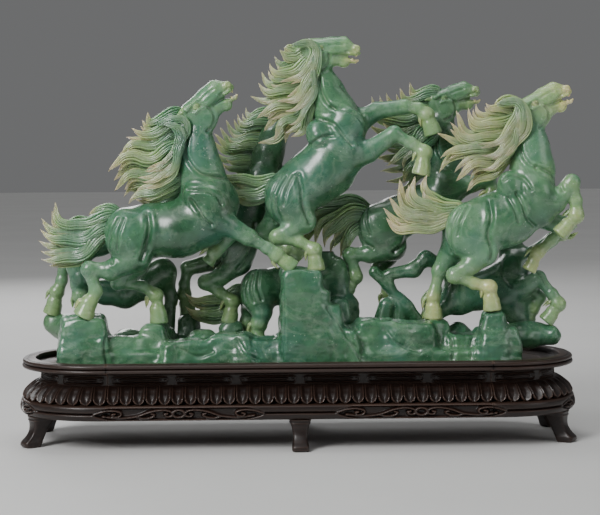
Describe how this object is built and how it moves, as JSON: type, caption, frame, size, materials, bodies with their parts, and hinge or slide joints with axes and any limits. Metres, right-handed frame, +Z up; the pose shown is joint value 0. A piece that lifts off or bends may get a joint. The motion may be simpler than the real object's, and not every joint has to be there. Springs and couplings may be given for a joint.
{
  "type": "jade figurine",
  "caption": "Pierced jade carving of a herd of horses leaping over rocks, resting on a dark hardwood stand with lotus petal and scroll mouldings and flicked feet.",
  "frame": {"origin": "on the surface that the feet stand on, under the middle of the stand", "axes": "+X the way the horses run (to the right seen from the front), -Y the front, +Z up"},
  "size_m": [0.5587, 0.184, 0.4023],
  "materials": {
    "jade": "polished, slightly translucent green stone with pale and dark clouds",
    "rosewood": "dark waxed hardwood, worn lighter along the edges"
  },
  "bodies": {
    "stand": {"batten_1": "rosewood", "batten_2": "rosewood", "batten_3": "rosewood", "foot_back_left": "rosewood", "foot_back_middle": "rosewood", "foot_back_right": "rosewood", "foot_front_left": "rosewood", "foot_front_middle": "rosewood", "foot_front_right": "rosewood", "lower_frame_back": "rosewood", "lower_frame_front": "rosewood", "lower_frame_left": "rosewood", "lower_frame_right": "rosewood", "petal_band_back": "rosewood", "petal_band_front": "rosewood", "petal_band_left": "rosewood", "petal_band_right": "rosewood", "rim_back": "rosewood", "rim_front": "rosewood", "rim_left": "rosewood", "rim_right": "rosewood", "top_panel": "rosewood", "waist_back": "rosewood", "waist_front": "rosewood", "waist_left": "rosewood", "waist_right": "rosewood"},
    "carving": {"horse_back_left": "jade", "horse_back_right": "jade", "horse_centre": "jade", "horse_far_left": "jade", "horse_front_left": "jade", "horse_front_right": "jade", "horse_low_left": "jade", "horse_low_right": "jade", "rock_centre_pillar": "jade", "rock_left_bank": "jade", "rock_left_pillar": "jade", "rock_right_bank": "jade", "rock_right_column": "jade"}
  },
  "joints": [
    {"name": "carving_lift", "type": "slide", "parent": "stand", "child": "carving", "axis": [0, 0, 1], "range_m": [0, 0.06]}
  ]
}
